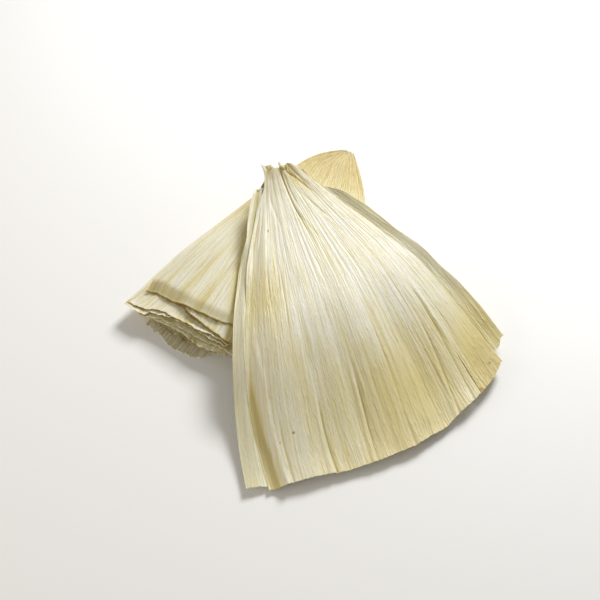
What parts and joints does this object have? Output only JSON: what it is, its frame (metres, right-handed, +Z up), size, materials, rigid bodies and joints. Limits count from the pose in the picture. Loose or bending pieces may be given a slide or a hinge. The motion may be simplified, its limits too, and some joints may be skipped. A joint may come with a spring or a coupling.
{
  "type": "bundle of corn husks",
  "caption": "Flattened stack of dried corn husks on a table, with a fan of nested husks, gathered at the stem, laid across it.",
  "frame": {"origin": "on the table, under the middle of the bundle's box", "axes": "+Z up off the table, +Y from the fan's wide end towards its stem, +X towards the fan's free side"},
  "size_m": [0.2434, 0.2806, 0.0457],
  "materials": {
    "fan_straw": "satin",
    "fan_inner_straw": "satin",
    "stack_straw": "satin"
  },
  "bodies": {
    "root": {"fan_husk_back": "fan_inner_straw", "fan_husk_middle": "fan_inner_straw", "fan_husk_front": "fan_straw", "stack_husk_01": "stack_straw", "stack_husk_02": "stack_straw", "stack_husk_03": "stack_straw", "stack_husk_04": "stack_straw", "stack_husk_05": "stack_straw", "stack_husk_06": "stack_straw", "stack_husk_07": "stack_straw", "stack_husk_08": "stack_straw", "stack_husk_09": "stack_straw", "stack_husk_10": "stack_straw", "stack_husk_11": "stack_straw"}
  },
  "joints": []
}
